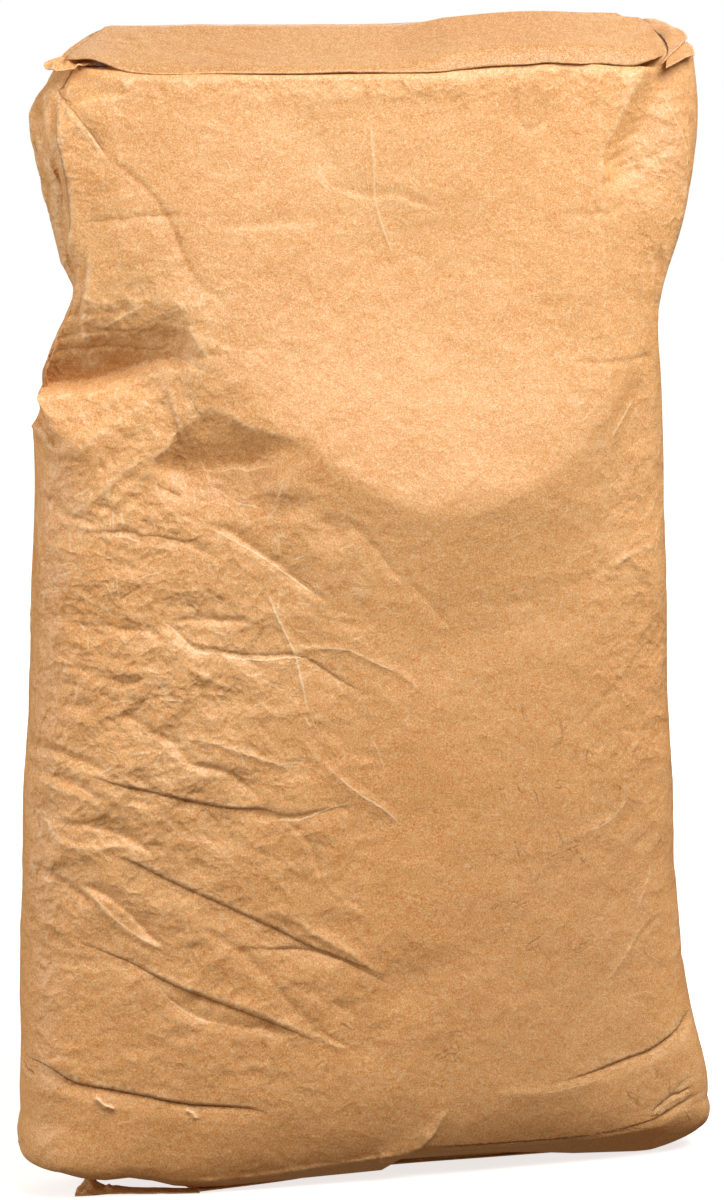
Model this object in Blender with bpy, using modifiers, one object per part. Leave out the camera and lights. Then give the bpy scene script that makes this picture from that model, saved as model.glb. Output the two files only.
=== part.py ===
"""A 25 kg paper sack of dry sand, standing on its pasted bottom end.

Metres, +Z up. The sack's front faces -Y, its width runs along X. The origin is at the middle of the
face that it stands on.
"""

import math
from collections import namedtuple

import bmesh
import bpy
from mathutils import Matrix, Vector

MM = 0.001

# Paper: three plies of sack kraft with the air that folding leaves between them
SACK_WALL = 0.9 * MM
PATCH_THICKNESS = 0.8 * MM
SLEEVE_WALL = 0.5 * MM
PASTE_GAP = 0.3 * MM

# How far everything that stands on the bottom sheet is raised by it
SACK_FOOT = PATCH_THICKNESS + PASTE_GAP

# Moves the whole sack so that its outside is centred on the origin
CENTRING = Vector((-4.75, 2.25, 0)) * MM

# Where the tube's wall stands, from the floor to the top end. All in millimetres.
# edge_left, edge_right: from the middle to the line where the front panel turns into the side
# side: how far the middle of the side stands out from that line, and minus where it is folded in
# centre: how far the section has moved back, edge_depth: half the distance between its two edges
# front, back: how far the middle of each panel bulges past the edges, roundness: 0 folded, 1 round
# tilt: how steeply the section rises to the back, in degrees, skew: how far the back is pulled right
Section = namedtuple(
    "Section", "height edge_left edge_right side centre edge_depth front back roundness tilt skew"
)
SECTIONS = (
    Section(0, 172, 160, 14, 0, 40, 3, 3, 0.6, 0, 0),
    Section(12, 188, 199, 17, 0, 42, 11, 11, 0.9, 0, 0),
    Section(36, 194, 207, 19, 0, 39, 20, 18, 1.0, 0, 0),
    Section(78, 193, 196, 21, -1, 37, 23, 20, 1.0, 0, 0),
    Section(132, 190, 183, 22, -1, 36, 24, 21, 1.0, 0, 0),
    Section(200, 189, 177, 22, -1, 35, 24, 21, 1.0, 0, 0),
    Section(280, 187, 174, 22, 0, 35, 23, 20, 1.0, 0, 0),
    Section(358, 183, 173, 21, 1, 35, 20, 18, 1.0, 0, 0),
    Section(426, 180, 175, 21, 3, 35, 15, 14, 0.9, 0, 0),
    Section(464, 182, 175, 19, 5, 35, 11, 11, 0.8, 1, 1),
    Section(494, 186, 179, 12, 7, 35, 7, 8, 0.5, 3, 3),
    Section(530, 164, 184, -8, 9, 36, 3, 4, 0.2, 6, 6),
    Section(577, 190, 204, 2, 11, 37, 1, 3, 0.1, 10, 10),
    Section(626, 197, 213, 10, 15, 37, 2, 3, 0.0, 16, 14),
    Section(674, 153, 186, 36, 18, 37, 0, 0, 0.0, 21, 16),
)
COLUMNS = 10
SIDE_ROWS = 4
FRONT_BULGE_POWER = 2.4

# The top end stands a little higher where the valve's sleeve lies folded into it
TOP_SWELL = 6
SWELL_CENTRE = 122
SWELL_REACH = 90

# The filling valve: a flattened paper tube on the folded corner at the right end of the top, which
# lets the sand down through the opening there. Millimetres, in the plane of the top end.
# flap clearance: the room that the folded flaps under the cover sheet take
OPEN_COLUMNS = (6, 7)
OPEN_ROWS = (1, 2)
FLAP_CLEARANCE = 0.9
SLEEVE_HALF_WIDTH = 22
SLEEVE_HALF_THICKNESS = 1.7
SLEEVE_FROM = 72
SLEEVE_TO = 190
SLEEVE_SEGMENTS = 20
SLEEVE_LENGTHS = 5

# The cover sheets. The top one stands clear of the sleeve at the right.
PATCH_COLUMNS = 14
PATCH_ROWS = 6
PATCH_TIP_SHARE = 0.08
PATCH_RISE = 5.4
PATCH_RISE_FROM = 28
PATCH_RISE_TO = 58

# The sand: filled to here, heaped a little in the middle
SAND_SECTIONS = 9
SAND_CROWN = 18
SAND_CLEARANCE = 2.4

PAPER = ((0.60, 0.36, 0.17, 1.0), 0.75)
PATCH_PAPER = ((0.64, 0.39, 0.19, 1.0), 0.72)
SLEEVE_PAPER = ((0.50, 0.30, 0.15, 1.0), 0.80)
SAND = ((0.62, 0.49, 0.30, 1.0), 0.95)


def clear_scene():
    for old in list(bpy.data.objects):
        bpy.data.objects.remove(old)


def material(name, colour_and_roughness):
    colour, roughness = colour_and_roughness
    made = bpy.data.materials.new(name)
    made.use_nodes = True
    shader = made.node_tree.nodes["Principled BSDF"]
    shader.inputs["Base Color"].default_value = colour
    shader.inputs["Roughness"].default_value = roughness
    shader.inputs["Metallic"].default_value = 0.0
    return made


def add_object(name, mesh, collection, finish):
    made = bpy.data.objects.new(name, mesh)
    collection.objects.link(made)
    mesh.materials.append(finish)
    return made


def panel_point(section, share, back):
    """A point of the front or back panel in plan, in mm, where share runs from 0 at the left to 1."""
    x = -section.edge_left + share * (section.edge_left + section.edge_right)
    bulge = 1 - abs(2 * share - 1) ** FRONT_BULGE_POWER
    if back:
        return x, section.centre + section.edge_depth + section.back * bulge
    return x, section.centre - section.edge_depth - section.front * bulge


def side_point(section, share, right):
    """A point of a side in plan, in mm, where share runs from 0 at the front edge to 1 at the back."""
    turn = math.pi * share
    folded = 1 - abs(2 * share - 1)
    rounded = math.sin(turn)
    out = section.side * (folded + section.roundness * (rounded - folded))
    straight = 2 * share - 1
    depth = section.edge_depth * (straight + section.roundness * (-math.cos(turn) - straight) * 0.4)
    x = section.edge_right + out if right else -section.edge_left - out
    return x, section.centre + depth


def plan_grid(section, inset=0.0):
    """The plan points of a section, by column and row: row 0 is the front, the last row the back."""
    slant = section.skew / (2 * section.edge_depth)
    shrunk = section._replace(
        edge_left=section.edge_left - inset,
        edge_right=section.edge_right - inset,
        edge_depth=section.edge_depth - inset,
    )
    grid = {}
    for column in range(COLUMNS + 1):
        share = column / COLUMNS
        grid[column, 0] = panel_point(shrunk, share, back=False)
        grid[column, SIDE_ROWS] = panel_point(shrunk, share, back=True)
    for row in range(1, SIDE_ROWS):
        left = side_point(shrunk, row / SIDE_ROWS, right=False)
        right = side_point(shrunk, row / SIDE_ROWS, right=True)
        for column in range(COLUMNS + 1):
            share = column / COLUMNS
            front_y = grid[column, 0][1]
            back_y = grid[column, SIDE_ROWS][1]
            edge_share = (left[1] - grid[0, 0][1]) / (grid[0, SIDE_ROWS][1] - grid[0, 0][1])
            x = left[0] + share * (right[0] - left[0])
            grid[column, row] = x, front_y + edge_share * (back_y - front_y)
    return {key: (x + slant * (y - section.centre), y) for key, (x, y) in grid.items()}


def swell(x):
    """How much higher the top end stands at x, in mm."""
    distance = abs(x - SWELL_CENTRE) / SWELL_REACH
    return TOP_SWELL * math.cos(math.pi / 2 * distance) ** 2 if distance < 1 else 0.0


def lifted(section, point):
    """A plan point of the section, in mm, as a place in space, in metres."""
    x, y = point
    rise = (y - section.centre) * math.tan(math.radians(section.tilt))
    if section is SECTIONS[-1]:
        rise += swell(x)
    return Vector((x, y, section.height + rise)) * MM


def on_top(x, y, above):
    """The place of a point in the plane of the top end, in mm, that far above the sack's paper."""
    top = SECTIONS[-1]
    tilt = Matrix.Rotation(math.radians(top.tilt), 4, "X")
    foot = Vector((0, top.centre, top.height)) * MM
    across = x + y * math.cos(math.radians(top.tilt)) * top.skew / (2 * top.edge_depth)
    swollen = above + swell(across) * math.cos(math.radians(top.tilt))
    return foot + tilt @ (Vector((across, y, swollen)) * MM)


def outline_keys():
    """The outline of a section, once round: along the front, up the right side, back and down the left."""
    keys = [(column, 0) for column in range(COLUMNS)]
    keys += [(COLUMNS, row) for row in range(SIDE_ROWS)]
    keys += [(column, SIDE_ROWS) for column in range(COLUMNS, 0, -1)]
    keys += [(0, row) for row in range(SIDE_ROWS, 0, -1)]
    return keys


def tube_cage(sections, inset=0.0, opening=()):
    """A closed cage lofted through the sections, with a grid of faces across each end."""
    cage = bmesh.new()
    crease = cage.edges.layers.float.new("crease_edge")
    keys = outline_keys()
    rings = []
    for section in sections:
        grid = plan_grid(section, inset)
        rings.append({key: cage.verts.new(lifted(section, grid[key])) for key in keys})
    for lower, upper in zip(rings, rings[1:]):
        for key, after in zip(keys, keys[1:] + keys[:1]):
            cage.faces.new((lower[key], lower[after], upper[after], upper[key]))
    for ring, section, is_top in ((rings[0], sections[0], False), (rings[-1], sections[-1], True)):
        grid = plan_grid(section, inset)
        verts = dict(ring)
        for column in range(1, COLUMNS):
            for row in range(1, SIDE_ROWS):
                verts[column, row] = cage.verts.new(lifted(section, grid[column, row]))
        for column in range(COLUMNS):
            for row in range(SIDE_ROWS):
                if is_top and (column, row) in opening:
                    continue
                corners = [(column, row), (column + 1, row), (column + 1, row + 1), (column, row + 1)]
                if not is_top:
                    corners.reverse()
                cage.faces.new([verts[corner] for corner in corners])
        for key, after in zip(keys, keys[1:] + keys[:1]):
            edge = cage.edges.get((ring[key], ring[after]))
            edge[crease] = 1.0
    return cage


def mesh_from(cage, name):
    mesh = bpy.data.meshes.new(name)
    cage.normal_update()
    cage.to_mesh(mesh)
    cage.free()
    mesh.shade_smooth()
    return mesh


def subdivide(obj):
    rounding = obj.modifiers.new("Rounding", "SUBSURF")
    rounding.levels = 1
    rounding.render_levels = 1
    return rounding


def paper_sack(collection):
    """The sack's tube with both its ends folded in. Its one opening is the valve's mouth."""
    opening = {(column, row) for column in OPEN_COLUMNS for row in OPEN_ROWS}
    mesh = mesh_from(tube_cage(SECTIONS, opening=opening), "paper_sack")
    sack = add_object("paper_sack", mesh, collection, material("sack kraft", PAPER))
    subdivide(sack)
    thicken(sack, SACK_WALL, -1.0)
    sack.location = CENTRING + Vector((0, 0, SACK_FOOT))
    return sack


def sand_fill(collection):
    """The sand, which fills the sack to its shoulders and is heaped a little in the middle."""
    floor = SECTIONS[0]._replace(height=(SACK_WALL + PASTE_GAP) / MM)
    body = [floor] + list(SECTIONS[1:SAND_SECTIONS])
    brim = SECTIONS[SAND_SECTIONS - 1]
    crown = brim._replace(
        height=brim.height + SAND_CROWN,
        edge_left=brim.edge_left - 60,
        edge_right=brim.edge_right - 60,
        edge_depth=brim.edge_depth - 22,
    )
    mesh = mesh_from(tube_cage(body + [crown], inset=SAND_CLEARANCE), "sand_fill")
    sand = add_object("sand_fill", mesh, collection, material("dry sand", SAND))
    subdivide(sand)
    sand.location = CENTRING + Vector((0, 0, SACK_FOOT))
    return sand


def cover_sheet(name, left, right, left_tip, right_tip, half_depth, place, finish, collection):
    """A six-sided sheet: two long edges and a blunt point at each end. place puts a point in space."""
    sheet = bmesh.new()
    length = left + right
    stations = [-left + length * column / PATCH_COLUMNS for column in range(PATCH_COLUMNS + 1)]
    stations = [-left - left_tip] + stations + [right + right_tip]
    rows = []
    for x in stations:
        at_tip = x in (stations[0], stations[-1])
        reach = half_depth * (PATCH_TIP_SHARE if at_tip else 1.0)
        across = [reach * (2 * row / PATCH_ROWS - 1) for row in range(PATCH_ROWS + 1)]
        rows.append([sheet.verts.new(place(x, y)) for y in across])
    for here, after in zip(rows, rows[1:]):
        for row in range(PATCH_ROWS):
            sheet.faces.new((here[row], after[row], after[row + 1], here[row + 1]))
    made = add_object(name, mesh_from(sheet, name), collection, finish)
    thicken(made, PATCH_THICKNESS, 1.0)
    return made


def thicken(obj, thickness, offset):
    wall = obj.modifiers.new("Thickness", "SOLIDIFY")
    wall.thickness = thickness
    wall.offset = offset
    return wall


def top_patch(collection):
    """The cover sheet pasted over the top end's folds. Its right end roofs the valve."""
    top = SECTIONS[-1]
    half_depth = top.edge_depth / math.cos(math.radians(top.tilt)) - 1

    def place(x, y):
        along = min(max((x - PATCH_RISE_FROM) / (PATCH_RISE_TO - PATCH_RISE_FROM), 0), 1)
        clear = along * along * (3 - 2 * along) * (1 - (y / half_depth) ** 4)
        return on_top(x, y, FLAP_CLEARANCE + PATCH_RISE * clear)

    finish = material("cover kraft", PATCH_PAPER)
    patch = cover_sheet(
        "top_patch", top.edge_left - 1, top.edge_right - 1, 30, 12, half_depth, place, finish, collection
    )
    patch.location = CENTRING + Vector((0, 0, SACK_FOOT))
    return patch


def bottom_patch(collection):
    """The cover sheet pasted under the bottom end. The sack stands on it."""
    base = SECTIONS[0]

    def place(x, y):
        return Vector((x, y, 0)) * MM

    finish = material("base kraft", PATCH_PAPER)
    patch = cover_sheet(
        "bottom_patch", base.edge_left, base.edge_right, 22, 12, base.edge_depth, place, finish, collection
    )
    patch.location = CENTRING
    return patch


def valve_sleeve(collection):
    """The valve: a flattened tube of paper between the folded corner and the cover sheet."""
    tube = bmesh.new()
    rings = []
    for step in range(SLEEVE_LENGTHS + 1):
        x = SLEEVE_FROM + (SLEEVE_TO - SLEEVE_FROM) * step / SLEEVE_LENGTHS
        ring = []
        for segment in range(SLEEVE_SEGMENTS):
            angle = 2 * math.pi * segment / SLEEVE_SEGMENTS
            y = SLEEVE_HALF_WIDTH * math.cos(angle)
            above = FLAP_CLEARANCE + SLEEVE_HALF_THICKNESS * (1 + math.sin(angle))
            ring.append(tube.verts.new(on_top(x, y, above)))
        rings.append(ring)
    for here, after in zip(rings, rings[1:]):
        for segment in range(SLEEVE_SEGMENTS):
            beside = (segment + 1) % SLEEVE_SEGMENTS
            tube.faces.new((here[segment], here[beside], after[beside], after[segment]))
    finish = material("sleeve kraft", SLEEVE_PAPER)
    sleeve = add_object("valve_sleeve", mesh_from(tube, "valve_sleeve"), collection, finish)
    thicken(sleeve, SLEEVE_WALL, -1.0)
    sleeve.location = CENTRING + Vector((0, 0, SACK_FOOT))
    return sleeve


def main():
    clear_scene()
    collection = bpy.data.collections.new("bag of sand")
    bpy.context.scene.collection.children.link(collection)
    paper_sack(collection)
    sand_fill(collection)
    top_patch(collection)
    bottom_patch(collection)
    valve_sleeve(collection)


main()
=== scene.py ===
"""A 25 kg kraft paper sack of sand, standing: its creased paper, pasted ends, valve and studio."""

import math

import bpy
import numpy as np
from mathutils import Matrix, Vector


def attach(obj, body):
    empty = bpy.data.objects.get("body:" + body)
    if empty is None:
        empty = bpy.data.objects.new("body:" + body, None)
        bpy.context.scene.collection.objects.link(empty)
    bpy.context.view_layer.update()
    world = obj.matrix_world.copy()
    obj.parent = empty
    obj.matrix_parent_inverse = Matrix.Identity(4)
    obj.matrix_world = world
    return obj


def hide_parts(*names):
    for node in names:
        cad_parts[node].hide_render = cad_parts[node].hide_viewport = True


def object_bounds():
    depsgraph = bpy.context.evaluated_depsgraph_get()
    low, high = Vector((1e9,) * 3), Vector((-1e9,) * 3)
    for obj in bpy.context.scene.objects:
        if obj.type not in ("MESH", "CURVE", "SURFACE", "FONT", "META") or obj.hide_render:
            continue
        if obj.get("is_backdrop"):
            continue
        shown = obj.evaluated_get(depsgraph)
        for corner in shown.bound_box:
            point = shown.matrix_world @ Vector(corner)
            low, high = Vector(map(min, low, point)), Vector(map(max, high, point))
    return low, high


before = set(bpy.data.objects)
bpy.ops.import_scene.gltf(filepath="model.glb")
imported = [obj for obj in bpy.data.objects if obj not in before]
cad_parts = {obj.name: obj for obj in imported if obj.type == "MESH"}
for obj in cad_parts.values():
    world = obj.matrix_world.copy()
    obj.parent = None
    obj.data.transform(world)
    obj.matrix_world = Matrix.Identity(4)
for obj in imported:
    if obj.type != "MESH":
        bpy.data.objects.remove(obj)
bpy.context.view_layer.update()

# The sack is a tube of sack kraft, three plies thick, whose ends are folded in square and pasted.
# It stands on one end. The sand fills it to about two thirds and rounds it; the empty top leans back
# and is folded in at its sides. Its sizes are in mm.
SACK_FOOT = 1.1
CENTRING = np.array([-4.75, 2.25, SACK_FOOT])

# The tube's outline at each height, in mm, before CENTRING moves it: height, front edge to the
# left and right, bulge of the side, shift to the back, half depth, bulge of front and back,
# roundness of the side, rise to the back in degrees, and how far the back is pulled to the right
OUTLINES = (
    (0, 172, 160, 14, 0, 40, 3, 3, 0.6, 0, 0),
    (12, 188, 202, 17, 0, 42, 11, 11, 0.9, 0, 0),
    (36, 194, 207, 19, 0, 39, 20, 18, 1.0, 0, 0),
    (78, 193, 193, 21, -1, 37, 23, 20, 1.0, 0, 0),
    (132, 190, 181, 22, -1, 36, 24, 21, 1.0, 0, 0),
    (200, 189, 177, 22, -1, 35, 24, 21, 1.0, 0, 0),
    (280, 187, 174, 22, 0, 35, 23, 20, 1.0, 0, 0),
    (358, 183, 173, 21, 1, 35, 20, 18, 1.0, 0, 0),
    (426, 180, 172, 21, 3, 35, 15, 14, 0.9, 0, 0),
    (464, 182, 174, 19, 5, 35, 11, 11, 0.8, 1, 1),
    (494, 186, 179, 12, 7, 35, 7, 8, 0.5, 3, 3),
    (530, 172, 186, -8, 9, 36, 3, 4, 0.2, 6, 6),
    (577, 191, 204, 2, 11, 37, 1, 3, 0.1, 10, 10),
    (626, 197, 213, 10, 15, 37, 2, 3, 0.0, 16, 14),
    (674, 153, 186, 36, 18, 37, 0, 0, 0.0, 21, 16),
)
FRONT_SPANS = 10
SIDE_SPANS = 4
RING = 2 * (FRONT_SPANS + SIDE_SPANS)
TOP_SWELL = 6
SWELL_CENTRE = 122
SWELL_REACH = 90
PANEL_ROUNDING = 2.4
SIDE_ROUNDING = 0.4


def swell(x):
    """How much higher the top end stands at x, where the valve's sleeve is folded into it, in mm."""
    distance = np.minimum(np.abs(x - SWELL_CENTRE) / SWELL_REACH, 1)
    return TOP_SWELL * np.cos(math.pi / 2 * distance) ** 2


def outline_ring(outline):
    """Points round the tube at one height: along the front, the right side, the back, the left side."""
    height, left, right, side, centre, depth, front_bulge, back_bulge, roundness, tilt, skew = outline
    ring = []
    for panel, bulge, depth_sign in (("front", front_bulge, -1), ("back", back_bulge, 1)):
        for span in range(FRONT_SPANS):
            share = span / FRONT_SPANS if panel == "front" else 1 - span / FRONT_SPANS
            out = depth + bulge * (1 - abs(2 * share - 1) ** PANEL_ROUNDING)
            ring.append((-left + share * (left + right), centre + depth_sign * out))
        for span in range(SIDE_SPANS):
            share = span / SIDE_SPANS
            folded = 1 - abs(2 * share - 1)
            out = side * (folded + roundness * (math.sin(math.pi * share) - folded))
            straight = 2 * share - 1
            back = straight + roundness * (-math.cos(math.pi * share) - straight) * SIDE_ROUNDING
            if panel == "front":
                ring.append((right + out, centre + depth * back))
            else:
                ring.append((-left - out, centre - depth * back))
    ring = np.array(ring)
    ring[:, 0] += skew / (2 * depth) * (ring[:, 1] - centre)
    rise = (ring[:, 1] - centre) * math.tan(math.radians(tilt))
    if outline is OUTLINES[-1]:
        rise += swell(ring[:, 0])
    return np.column_stack([ring, height + rise])


def spline_shares(at, count, closed):
    """Weights of count control points at each place, for a cubic B-spline."""
    at = np.asarray(at, float)
    weights = np.zeros((len(at), count if closed else count + 2))
    span = np.floor(at).astype(int)
    if not closed:
        span = np.minimum(span, count - 2)
    f = at - span
    parts = ((1 - f) ** 3, 3 * f**3 - 6 * f**2 + 4, -3 * f**3 + 3 * f**2 + 3 * f + 1, f**3)
    for offset, part in enumerate(parts):
        index = (span + offset - 1) % count if closed else span + offset
        np.add.at(weights, (np.arange(len(at)), index), part / 6)
    return weights


NET = np.array([outline_ring(outline) for outline in OUTLINES])
NET_PADDED = np.concatenate([2 * NET[:1] - NET[1:2], NET, 2 * NET[-1:] - NET[-2:-1]])


def tube_surface(places_up, places_round):
    """The smooth tube at each pair of places up and round the net, as rows by columns by xyz."""
    rows = spline_shares(places_up, len(OUTLINES), closed=False)
    columns = spline_shares(places_round, RING, closed=True)
    return np.einsum("ri,cj,ijk->rck", rows, columns, NET_PADDED)


# The grid's points are about 1 mm apart on the front, and are thinned out later where the paper is
# flat. These are how many rows lie below each height, and columns left of each share of the front.
ROWS_TO = ((0, 0), (62, 62), (330, 302), (520, 470), (674, 560))
FRONT_COLUMNS_TO = ((0, 0), (0.62, 220), (1, 320))
RIGHT_COLUMNS = 24
BACK_COLUMNS = 60
LEFT_COLUMNS = 34
MOST_TRIANGLES = 190000

level_heights = [outline[0] for outline in OUTLINES]
row_heights = np.interp(np.arange(ROWS_TO[-1][1]), [row for _, row in ROWS_TO], [at for at, _ in ROWS_TO])
row_heights[-1] = level_heights[-1]
row_places = np.interp(row_heights, level_heights, np.arange(len(OUTLINES)))
front_end = FRONT_SPANS
right_end = front_end + SIDE_SPANS
back_end = right_end + FRONT_SPANS
front_columns = FRONT_COLUMNS_TO[-1][1]
front_shares = np.interp(np.arange(front_columns), [column for _, column in FRONT_COLUMNS_TO],
                         [share for share, _ in FRONT_COLUMNS_TO])
column_places = np.concatenate([
    front_shares * front_end,
    np.linspace(front_end, right_end, RIGHT_COLUMNS, endpoint=False),
    np.linspace(right_end, back_end, BACK_COLUMNS, endpoint=False),
    np.linspace(back_end, RING, LEFT_COLUMNS, endpoint=False),
])
surface = tube_surface(row_places, column_places)
row_count, column_count = surface.shape[:2]


def grid_normals(grid):
    """Outward normals of a tube of points."""
    round_step = np.roll(grid, -1, axis=1) - np.roll(grid, 1, axis=1)
    up_step = np.gradient(grid, axis=0)
    normals = np.cross(round_step, up_step)
    return normals / np.maximum(np.linalg.norm(normals, axis=2, keepdims=True), 1e-9)


normals = grid_normals(surface)

# Creases are placed on the paper by how far it runs from the middle of the front, to the right or
# (negative) left and on round the sides, and by height, both in mm. Paper with no mark near it counts
# as 9 mm off one. A fold that reaches less than FINE wavers, and one that reaches BROAD is even.
BACK_FROM = 250
UNMARKED = 9.0
MARK_REACH = 5
MARK_FADE = 0.15
FINE = 9
BROAD = 40
WAVERING = 0.45
steps = np.linalg.norm(np.roll(surface, -1, axis=1) - surface, axis=2)
travelled = np.concatenate([np.zeros((row_count, 1)), np.cumsum(steps, axis=1)[:, :-1]], axis=1)
girth = steps.sum(axis=1, keepdims=True)
middle = np.array([
    np.interp(0.0, surface[row, :front_columns, 0] + CENTRING[0], travelled[row, :front_columns])
    for row in range(row_count)
])[:, None]
across = travelled - middle
across = np.where(across > girth / 2, across - girth, across)
height = surface[:, :, 2] + SACK_FOOT
push = np.zeros((row_count, column_count))
across_flat, height_flat, push_flat = across.ravel(), height.ravel(), push.ravel()
line_off = np.full(push.size, UNMARKED)
line_mark = np.zeros(push.size)
unrest = np.random.default_rng(3)
on_back = np.abs(across_flat) > BACK_FROM


def smooth_line(points, step=4.0):
    """A smooth curve through the points, as short straight pieces."""
    points = np.array(points, float)
    if len(points) == 2:
        return points
    ends = np.concatenate([[2 * points[0] - points[1]], points, [2 * points[-1] - points[-2]]])
    made = []
    for a, b, c, d in zip(ends, ends[1:], ends[2:], ends[3:]):
        count = max(2, int(np.linalg.norm(c - b) / step))
        for t in np.arange(count) / count:
            made.append(0.5 * (2 * b + (c - a) * t + (2 * a - 5 * b + 4 * c - d) * t**2
                               + (3 * b - a - 3 * c + d) * t**3))
    return np.array(made + [points[-1]])


def beside(line, reach):
    """Paper within reach of a line: which points, how far above it, and how far along as a share."""
    low, high = line.min(axis=0) - reach, line.max(axis=0) + reach
    near = np.nonzero((across_flat > low[0]) & (across_flat < high[0])
                      & (height_flat > low[1]) & (height_flat < high[1]))[0]
    spot = np.column_stack([across_flat[near], height_flat[near]])
    best = np.full(len(near), 1e9)
    side = np.zeros(len(near))
    share = np.zeros(len(near))
    pieces = np.linalg.norm(np.diff(line, axis=0), axis=1)
    run = np.concatenate([[0], np.cumsum(pieces)])
    for index, (start, end) in enumerate(zip(line, line[1:])):
        way = (end - start) / pieces[index]
        off = spot - start
        on = np.clip(off @ way, 0, pieces[index])
        gap = off - on[:, None] * way
        distance = np.hypot(gap[:, 0], gap[:, 1])
        closer = distance < best
        best[closer] = distance[closer]
        cross = way[0] * off[:, 1] - way[1] * off[:, 0]
        side[closer] = np.where(cross >= 0, 1, -1)[closer]
        share[closer] = ((run[index] + on) / run[-1])[closer]
    keep = best < reach
    return near[keep], (best * side)[keep], share[keep]


def fade(share, start, end):
    """1 along a line, falling to 0 over these shares of it at its ends. 0 means no fall there."""
    value = np.ones_like(share)
    if start:
        value *= np.clip(share / start, 0, 1)
    if end:
        value *= np.clip((1 - share) / end, 0, 1)
    return value


def along(share, values):
    """A number, or one of several numbers that change smoothly over a line's length."""
    if not isinstance(values, tuple):
        return values
    at = share * (len(values) - 1)
    before = np.minimum(at.astype(int), len(values) - 2)
    step = at - before
    values = np.array(values, float)
    return values[before] + (values[before + 1] - values[before]) * step**2 * (3 - 2 * step)


def marked(line, mark):
    """A hairline on the paper: pale where the mark is over 0, dark where it is under, as far as -1 or 1."""
    near, off, share = beside(line, MARK_REACH)
    closer = np.abs(off) < np.abs(line_off[near])
    line_off[near[closer]] = off[closer]
    line_mark[near[closer]] = (mark * fade(share, MARK_FADE, MARK_FADE))[closer]


def bent(points, depth, above, below, sharp=0.3, power=(1.8, 1.6), start=0.2, end=0.2, mark=0.0, rubbed=0.0):
    """A fold: the paper goes in (or, with a negative depth, out) along the line, over those reaches.

    A power over 1 makes a wall steeper near the line, and sharp rounds the line itself. A fold ends
    in a point, as paper does: its walls get narrower as they get shallower. Its line wavers a little.
    A mark lies on the wavering line, and rubbed paper on the even one. A dark mark is painted shade in the
    fold; a pale one is broken paper.
    """
    reach = max(np.max(above), np.max(below))
    line = smooth_line(points)
    if len(line) > 4 and reach < FINE:
        line[1:-1] += unrest.normal(0, WAVERING, (len(line) - 2, 2))
    near, off, share = beside(line, reach)
    swing = along(share, tuple(unrest.uniform(0.8, 1.2, 9))) if reach < BROAD else 1
    walled(near, off, share, depth, above, below, sharp, power, start, end, swing)
    if mark:
        marked(line, mark)
    if rubbed:
        worn(points, rubbed)


def walled(near, off, share, depth, above, below, sharp, power, start, end, swing=1):
    """Pushes the paper in by the two walls of a fold, from how far off the fold it is and how far along."""
    up = off > 0
    fall = fade(share, start, end)
    reach = np.where(up, along(share, above), along(share, below)) * np.maximum(fall, 0.02) ** 0.8
    away = np.sqrt(off**2 + sharp**2) - sharp
    wall = np.clip(1 - away / reach, 0, 1) ** np.where(up, *power)
    push_flat[near] -= along(share, depth) * swing * wall * fall


def worn(points, strength):
    """The paper's surface is broken and pale along the line."""
    marked(smooth_line(points), strength)


def dented(at, size, depth, turn=0.0):
    """A soft hollow (or, with a negative depth, a swelling) of that width and height, turned."""
    turn = math.radians(turn)
    x, z = across_flat - at[0], height_flat - at[1]
    side_on = (x * math.cos(turn) + z * math.sin(turn)) / size[0]
    up_on = (-x * math.sin(turn) + z * math.cos(turn)) / size[1]
    push_flat[:] -= depth * np.exp(-(side_on**2 + up_on**2)) * np.where(on_back, 0, 1)


# The empty top leans back from the sand's surface, so that the front has a V in it: bright above,
# and standing out along its own edge
V_EDGE = smooth_line([(-187, 642), (-172, 592), (-150, 549), (-122, 511), (-92, 479), (-60, 450), (-25, 424),
                      (10, 407), (42, 403), (75, 413), (105, 431), (130, 458), (152, 486), (172, 505)])
V_DEPTH = (-2, -6, -11, -13, -13, -11, -5)
V_ABOVE = 150
V_BELOW = (25, 60, 90, 70, 40)
edge_run = np.cumsum(np.linalg.norm(np.diff(V_EDGE, axis=0, prepend=V_EDGE[:1]), axis=1))
edge_slope = np.interp(across_flat, V_EDGE[:, 0], np.gradient(V_EDGE[:, 1], V_EDGE[:, 0]))
edge_off = (height_flat - np.interp(across_flat, V_EDGE[:, 0], V_EDGE[:, 1])) / np.sqrt(1 + edge_slope**2)
edge_share = np.interp(across_flat, V_EDGE[:, 0], edge_run / edge_run[-1])
on_front = np.nonzero(~on_back)[0]
walled(on_front, edge_off[on_front], edge_share[on_front], V_DEPTH, V_ABOVE, V_BELOW, sharp=3,
       power=(1.2, 1.3), start=0.15, end=0.1)

# The slack left waist is pushed in: a hollow over a shelf, then a second tuck under the shelf
SHELF = [(-236, 484), (-212, 484), (-192, 483), (-175, 485), (-158, 487), (-137, 497), (-111, 497)]
bent(SHELF, (12, 17, 20, 20, 17, 9, 3), (95, 95, 86, 60, 36, 12), (16, 26, 40, 52, 52, 46, 30), sharp=1.0,
     power=(1.2, 1.6), start=0.15, end=0.1)
bent(SHELF, (4, 6, 8, 9, 8, 5, 2), (22, 26, 28, 26, 20, 10), 7, sharp=1.0, power=(1.0, 1.3),
     start=0.1, end=0.1)
bent([(-145, 437), (-130, 434), (-112, 434), (-93, 434), (-76, 440), (-60, 447)],
     9.5, (8, 20, 28, 28, 20, 12), (20, 30, 32, 24), sharp=4.0, power=(1.0, 1.6), start=0.15, end=0.35)
bent([(-78, 450), (-62, 440), (-50, 424), (-39, 410)], 1.4, 10, 22, sharp=4, power=(1, 1.5),
     start=0.3, end=0.4)
bent([(-108, 431), (-96, 433), (-84, 433), (-74, 434)], -1.0, 3, 8, mark=0.3)
bent([(-142, 426), (-134, 421), (-126, 418)], 1.2, 2, 4, mark=-0.5)
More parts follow.
